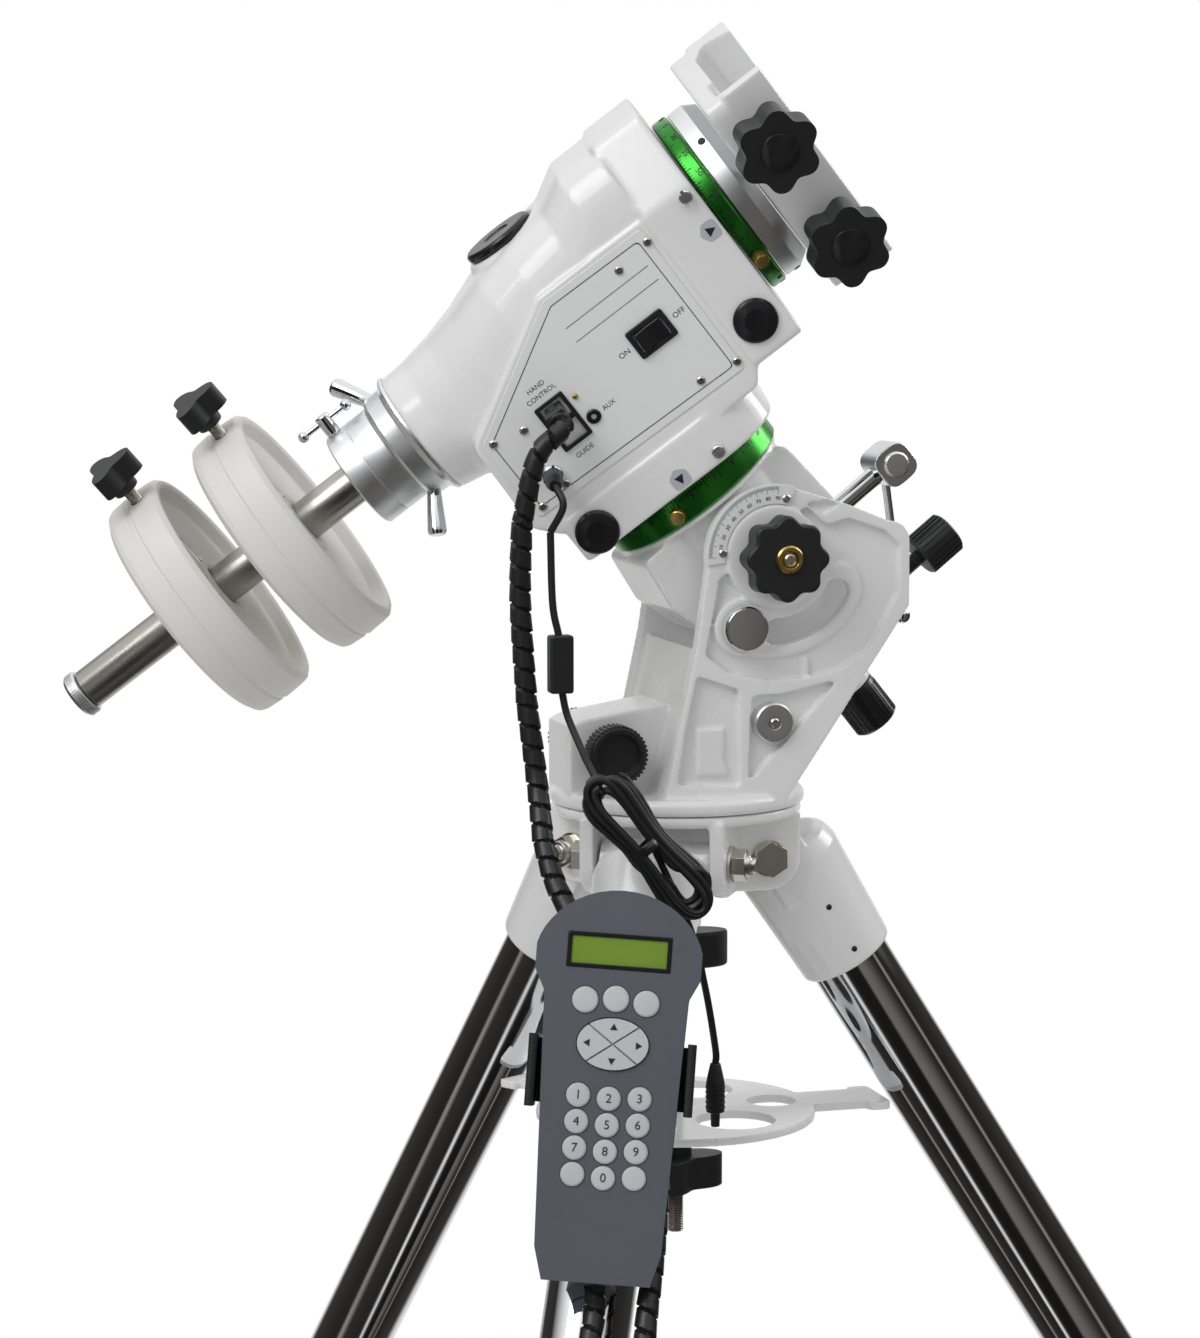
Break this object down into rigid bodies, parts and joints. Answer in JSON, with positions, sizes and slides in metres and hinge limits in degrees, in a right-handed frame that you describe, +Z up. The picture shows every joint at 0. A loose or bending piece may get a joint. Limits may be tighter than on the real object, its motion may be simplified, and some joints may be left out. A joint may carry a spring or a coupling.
{
  "type": "german equatorial telescope mount on tripod",
  "caption": "Motorised equatorial telescope mount with counterweights, altitude wedge, hand controller and folding steel tripod.",
  "frame": {"origin": "on the floor, under the centre of the bounding box of the whole object", "axes": "+Z up; -X towards the celestial pole; -Y the side that the control panel and the altitude lock knob face"},
  "size_m": [0.9162, 0.9662, 1.2365],
  "materials": {
    "white_paint": "gloss powder coat",
    "satin_white_paint": "satin paint on cast iron",
    "panel": "satin printed panel",
    "green_anodised": "green anodised, engraved",
    "machined_aluminium": "turned aluminium",
    "black_plastic": "moulded",
    "grey_plastic": "moulded, fine texture",
    "key_rubber": "silicone keys",
    "cable": "spiral wrapped lead",
    "chrome": "polished",
    "steel": "turned steel",
    "brass": "cut gear"
  },
  "bodies": {
    "tripod_hub": {"tripod_hub": "white_paint"},
    "leg_a": {"leg_socket_a": "white_paint", "leg_tube_a": "chrome", "leg_clamp_a": "white_paint"},
    "leg_b": {"leg_socket_b": "white_paint", "leg_tube_b": "chrome", "leg_clamp_b": "white_paint"},
    "leg_c": {"leg_socket_c": "white_paint", "leg_tube_c": "chrome", "leg_clamp_c": "white_paint", "handset_shell": "grey_plastic", "handset_holder": "black_plastic", "handset_cable": "cable", "power_cable": "cable"},
    "leg_slider_a": {"leg_slider_a": "chrome"},
    "leg_slider_b": {"leg_slider_b": "chrome"},
    "leg_slider_c": {"leg_slider_c": "chrome"},
    "leg_knob_a": {"leg_lock_knob_a": "black_plastic"},
    "leg_knob_b": {"leg_lock_knob_b": "black_plastic"},
    "leg_knob_c": {"leg_lock_knob_c": "black_plastic"},
    "tray": {"spreader_tray": "white_paint"},
    "tray_knob": {"tray_knob": "black_plastic"},
    "mounting_bolt": {"mounting_bolt": "black_plastic"},
    "azimuth_base": {"azimuth_base": "white_paint", "altitude_bolt_cap": "chrome"},
    "azimuth_knob_near": {"azimuth_knob_near": "black_plastic"},
    "azimuth_knob_far": {"azimuth_knob_far": "black_plastic"},
    "altitude_lock_knob": {"altitude_lock_knob": "black_plastic"},
    "polar_housing": {"polar_housing": "white_paint", "altitude_link": "steel", "altitude_tommy_bar": "chrome", "ra_worm_wheel": "brass", "polar_eyepiece_cap": "black_plastic"},
    "altitude_knob": {"altitude_knob": "black_plastic"},
    "ra_circle": {"ra_setting_circle": "green_anodised"},
    "head": {"head_housing": "white_paint", "control_panel": "panel", "polar_cap": "black_plastic", "ra_worm_cap": "black_plastic", "dec_worm_cap": "black_plastic", "shaft_sleeve": "machined_aluminium"},
    "power_switch": {"power_switch": "black_plastic"},
    "ra_worm": {"ra_worm": "brass"},
    "dec_worm": {"dec_worm": "brass"},
    "shaft_lock_ring": {"shaft_lock_ring": "machined_aluminium"},
    "shaft_clamp_screw": {"shaft_clamp_screw": "chrome"},
    "shaft": {"counterweight_shaft": "steel"},
    "toe_saver": {"toe_saver": "machined_aluminium"},
    "weight_inner": {"counterweight_inner": "satin_white_paint"},
    "weight_outer": {"counterweight_outer": "satin_white_paint"},
    "weight_knob_inner": {"weight_knob_inner": "black_plastic"},
    "weight_knob_outer": {"weight_knob_outer": "black_plastic"},
    "declination": {"dec_flange": "machined_aluminium", "dec_worm_wheel": "brass", "saddle_body": "white_paint"},
    "dec_circle": {"dec_setting_circle": "green_anodised"},
    "saddle_jaw": {"saddle_jaw": "machined_aluminium"},
    "saddle_knob_upper": {"saddle_knob_upper": "black_plastic"},
    "saddle_knob_lower": {"saddle_knob_lower": "black_plastic"},
    "keypad": {"handset_keypad": "key_rubber"}
  },
  "joints": [
    {"name": "leg_fold_a", "type": "hinge", "parent": "tripod_hub", "child": "leg_a", "pos_m": [-0.05249, 0, 0.736], "axis": [0, 1, 0], "range_deg": [0, 5]},
    {"name": "leg_extend_a", "type": "slide", "parent": "leg_a", "child": "leg_slider_a", "axis": [0.5373, 0, -0.8434], "range_m": [0, 0.32]},
    {"name": "leg_knob_turn_a", "type": "hinge", "parent": "leg_a", "child": "leg_knob_a", "pos_m": [0.29474, 0, 0.22445], "axis": [0.8434, 0, 0.5373], "range_deg": [-360, 0]},
    {"name": "leg_fold_b", "type": "hinge", "parent": "tripod_hub", "child": "leg_b", "pos_m": [-0.11999, 0.03897, 0.736], "axis": [-0.866, -0.5, 0], "range_deg": [0, 5]},
    {"name": "leg_extend_b", "type": "slide", "parent": "leg_b", "child": "leg_slider_b", "axis": [-0.2687, 0.4653, -0.8434], "range_m": [0, 0.32]},
    {"name": "leg_knob_turn_b", "type": "hinge", "parent": "leg_b", "child": "leg_knob_b", "pos_m": [-0.2936, 0.33968, 0.22445], "axis": [-0.4217, 0.7304, 0.5373], "range_deg": [-360, 0]},
    {"name": "leg_fold_c", "type": "hinge", "parent": "tripod_hub", "child": "leg_c", "pos_m": [-0.11999, -0.03897, 0.736], "axis": [0.866, -0.5, 0], "range_deg": [0, 5]},
    {"name": "leg_extend_c", "type": "slide", "parent": "leg_c", "child": "leg_slider_c", "axis": [-0.2687, -0.4653, -0.8434], "range_m": [0, 0.32]},
    {"name": "leg_knob_turn_c", "type": "hinge", "parent": "leg_c", "child": "leg_knob_c", "pos_m": [-0.2936, -0.33968, 0.22445], "axis": [-0.4217, -0.7304, 0.5373], "range_deg": [-360, 0]},
    {"name": "tray_slide", "type": "slide", "parent": "tripod_hub", "child": "tray", "axis": [0, 0, -1], "range_m": [0, 0.028]},
    {"name": "tray_knob_turn", "type": "hinge", "parent": "tray", "child": "tray_knob", "pos_m": [-0.09749, 0, 0.576], "axis": [0, 0, 1], "continuous": true},
    {"name": "mounting_bolt_turn", "type": "hinge", "parent": "tripod_hub", "child": "mounting_bolt", "pos_m": [-0.09749, 0, 0.76], "axis": [0, 0, 1], "continuous": true},
    {"name": "azimuth", "type": "hinge", "parent": "tripod_hub", "child": "azimuth_base", "pos_m": [-0.09749, 0, 0.76], "axis": [0, 0, 1], "range_deg": [-9, 9]},
    {"name": "azimuth_screw_near", "type": "slide", "parent": "azimuth_base", "child": "azimuth_knob_near", "axis": [0, 1, 0], "range_m": [-0.008, 0.008]},
    {"name": "azimuth_screw_far", "type": "slide", "parent": "azimuth_base", "child": "azimuth_knob_far", "axis": [0, 1, 0], "range_m": [-0.008, 0.008]},
    {"name": "altitude", "type": "hinge", "parent": "azimuth_base", "child": "polar_housing", "pos_m": [-0.05549, 0, 0.92], "axis": [0, 1, 0], "range_deg": [-41, 39]},
    {"name": "altitude_lock_turn", "type": "hinge", "parent": "azimuth_base", "child": "altitude_lock_knob", "pos_m": [-0.05549, 0, 0.92], "axis": [0, 1, 0], "range_deg": [-180, 0]},
    {"name": "altitude_knob_turn", "type": "hinge", "parent": "polar_housing", "child": "altitude_knob", "pos_m": [-0.0064, 0, 0.85938], "axis": [0.7771, 0, 0.6293], "continuous": true},
    {"name": "right_ascension", "type": "hinge", "parent": "polar_housing", "child": "head", "pos_m": [-0.16751, 0, 1.05833], "axis": [-0.6293, 0, 0.7771], "continuous": true},
    {"name": "ra_circle_turn", "type": "hinge", "parent": "polar_housing", "child": "ra_circle", "pos_m": [-0.09073, 0, 0.96352], "axis": [-0.6293, 0, 0.7771], "continuous": true},
    {"name": "power_rocker", "type": "hinge", "parent": "head", "child": "power_switch", "pos_m": [-0.13408, -0.07069, 1.05194], "axis": [-0.6293, 0, 0.7771], "range_deg": [-5, 5]},
    {"name": "ra_worm_turn", "type": "hinge", "parent": "head", "child": "ra_worm", "pos_m": [-0.14736, 0.01475, 0.94597], "axis": [0.2011, 0.9659, 0.1629], "continuous": true},
    {"name": "dec_worm_turn", "type": "hinge", "parent": "head", "child": "dec_worm", "pos_m": [-0.06257, -0.02381, 1.06996], "axis": [0.2011, 0.9659, 0.1629], "continuous": true},
    {"name": "shaft_lock_turn", "type": "hinge", "parent": "head", "child": "shaft_lock_ring", "pos_m": [-0.25533, 0.03028, 0.98721], "axis": [0.7507, -0.2588, 0.6079], "range_deg": [-60, 0]},
    {"name": "shaft_clamp_turn", "type": "hinge", "parent": "head", "child": "shaft_clamp_screw", "pos_m": [-0.28011, 0.03882, 0.96715], "axis": [-0.6293, 0, 0.7771], "continuous": true},
    {"name": "shaft_slide", "type": "slide", "parent": "head", "child": "shaft", "axis": [0.7507, -0.2588, 0.6079], "range_m": [0, 0.024]},
    {"name": "toe_saver_turn", "type": "hinge", "parent": "shaft", "child": "toe_saver", "pos_m": [-0.44525, 0.09576, 0.83342], "axis": [0.7507, -0.2588, 0.6079], "continuous": true},
    {"name": "weight_inner_slide", "type": "slide", "parent": "shaft", "child": "weight_inner", "axis": [0.7507, -0.2588, 0.6079], "range_m": [-0.02, 0]},
    {"name": "weight_outer_slide", "type": "slide", "parent": "shaft", "child": "weight_outer", "axis": [0.7507, -0.2588, 0.6079], "range_m": [-0.07, 0]},
    {"name": "weight_knob_inner_turn", "type": "hinge", "parent": "weight_inner", "child": "weight_knob_inner", "pos_m": [-0.31877, 0.05215, 0.93585], "axis": [-0.6574, -0.2008, 0.7263], "range_deg": [-360, 0]},
    {"name": "weight_knob_outer_turn", "type": "hinge", "parent": "weight_outer", "child": "weight_knob_outer", "pos_m": [-0.36681, 0.06872, 0.89694], "axis": [-0.6574, -0.2008, 0.7263], "range_deg": [-360, 0]},
    {"name": "declination", "type": "hinge", "parent": "head", "child": "declination", "pos_m": [-0.11946, -0.01656, 1.09724], "axis": [0.7507, -0.2588, 0.6079], "continuous": true},
    {"name": "dec_circle_turn", "type": "hinge", "parent": "declination", "child": "dec_circle", "pos_m": [-0.08043, -0.03002, 1.12885], "axis": [0.7507, -0.2588, 0.6079], "continuous": true},
    {"name": "saddle_jaw_slide", "type": "slide", "parent": "declination", "child": "saddle_jaw", "axis": [0.0659, 0.9448, 0.3209], "range_m": [0, 0.006]},
    {"name": "saddle_knob_upper_turn", "type": "hinge", "parent": "declination", "child": "saddle_knob_upper", "pos_m": [-0.07064, -0.049, 1.18271], "axis": [0.0659, 0.9448, 0.3209], "range_deg": [0, 1080]},
    {"name": "saddle_knob_lower_turn", "type": "hinge", "parent": "declination", "child": "saddle_knob_lower", "pos_m": [-0.02265, -0.03434, 1.12969], "axis": [0.0659, 0.9448, 0.3209], "range_deg": [0, 1080]},
    {"name": "keypad_press", "type": "slide", "parent": "leg_c", "child": "keypad", "axis": [0.286, 0.9354, -0.2079], "range_m": [0, 0.001], "stiffness_N_per_m": 2000}
  ],
  "couplings": [
    {"joint": "leg_fold_b", "follows": "leg_fold_a", "ratio": 1},
    {"joint": "leg_fold_c", "follows": "leg_fold_a", "ratio": 1},
    {"joint": "tray_slide", "follows": "leg_fold_a", "m_per_rad": 0.32},
    {"joint": "azimuth_screw_near", "follows": "azimuth", "m_per_rad": 0.05},
    {"joint": "azimuth_screw_far", "follows": "azimuth", "m_per_rad": 0.05},
    {"joint": "saddle_knob_upper_turn", "follows": "saddle_jaw_slide", "rad_per_m": 3141.6},
    {"joint": "saddle_knob_lower_turn", "follows": "saddle_jaw_slide", "rad_per_m": 3141.6}
  ]
}
